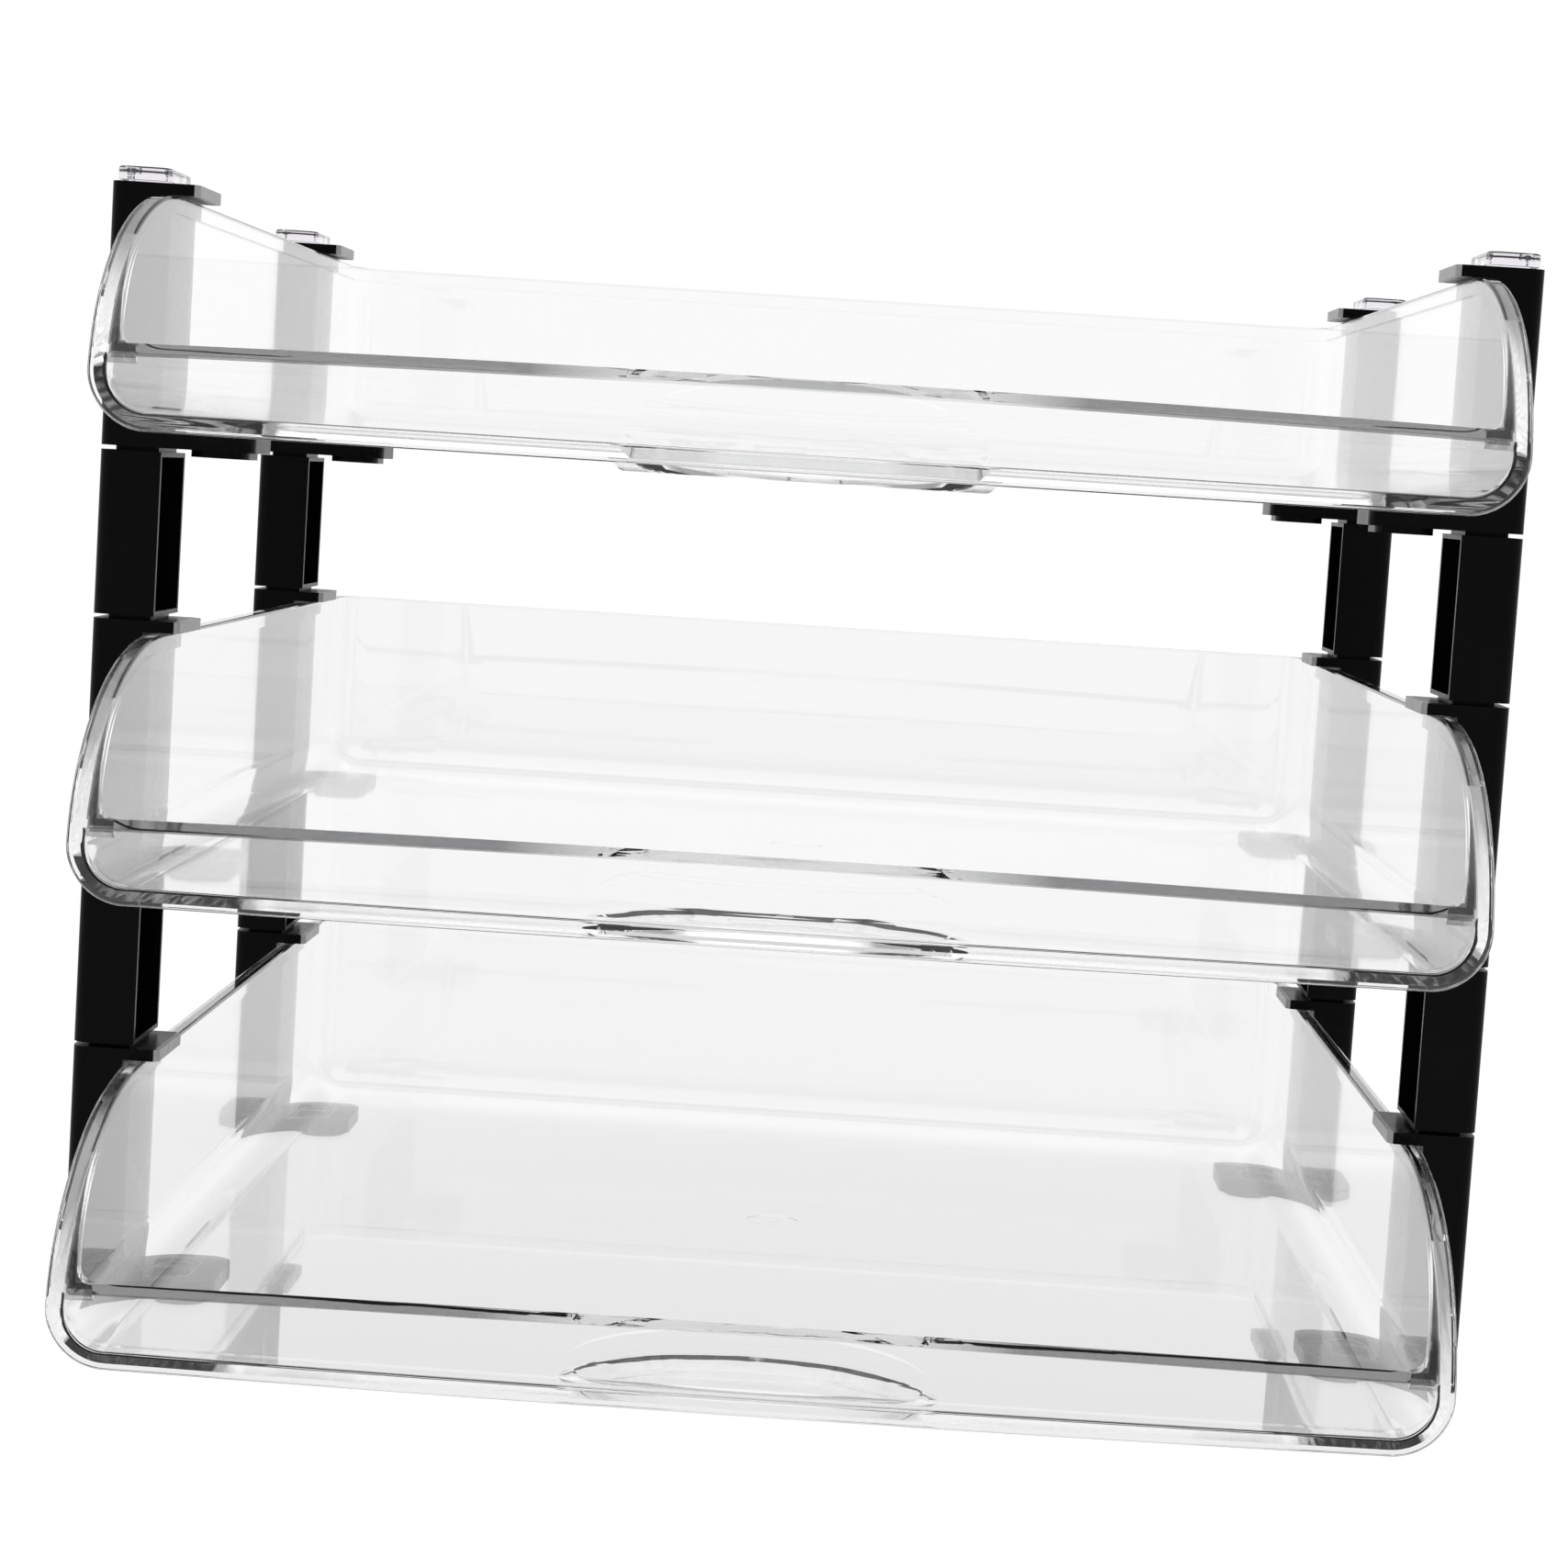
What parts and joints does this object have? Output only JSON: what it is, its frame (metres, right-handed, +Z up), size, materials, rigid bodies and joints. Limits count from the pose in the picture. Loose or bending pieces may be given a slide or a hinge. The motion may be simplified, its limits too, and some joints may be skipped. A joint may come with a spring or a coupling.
{
  "type": "letter tray",
  "caption": "Stacked letter tray: clear open-front paper trays that slide in C-shaped holders on black corner posts.",
  "frame": {"origin": "centre of the footprint, on the surface the feet stand on", "axes": "+Y from the open front towards the back wall of the trays, +X to the right seen from the front, +Z up"},
  "size_m": [0.27, 0.3194, 0.2186],
  "materials": {
    "clear_tray": "clear polished polystyrene",
    "black_post": "black, smooth, slightly glossy",
    "clear_cap": "clear polished plastic"
  },
  "bodies": {
    "posts": {"holder_front_left_bottom": "black_post", "holder_front_right_bottom": "black_post", "holder_back_left_bottom": "black_post", "holder_back_right_bottom": "black_post", "holder_front_left_middle": "black_post", "holder_front_right_middle": "black_post", "holder_back_left_middle": "black_post", "holder_back_right_middle": "black_post", "holder_front_left_top": "black_post", "holder_front_right_top": "black_post", "holder_back_left_top": "black_post", "holder_back_right_top": "black_post", "spacer_front_left_lower": "black_post", "spacer_front_right_lower": "black_post", "spacer_back_left_lower": "black_post", "spacer_back_right_lower": "black_post", "spacer_front_left_upper": "black_post", "spacer_front_right_upper": "black_post", "spacer_back_left_upper": "black_post", "spacer_back_right_upper": "black_post", "cap_front_left": "clear_cap", "cap_front_right": "clear_cap", "cap_back_left": "clear_cap", "cap_back_right": "clear_cap"},
    "tray_bottom": {"tray_bottom": "clear_tray"},
    "tray_middle": {"tray_middle": "clear_tray"},
    "tray_top": {"tray_top": "clear_tray"}
  },
  "joints": [
    {"name": "tray_bottom_slide", "type": "slide", "parent": "posts", "child": "tray_bottom", "axis": [0, -1, 0], "range_m": [0, 0.05]},
    {"name": "tray_middle_slide", "type": "slide", "parent": "posts", "child": "tray_middle", "axis": [0, -1, 0], "range_m": [0, 0.05]},
    {"name": "tray_top_slide", "type": "slide", "parent": "posts", "child": "tray_top", "axis": [0, -1, 0], "range_m": [0, 0.05]}
  ]
}
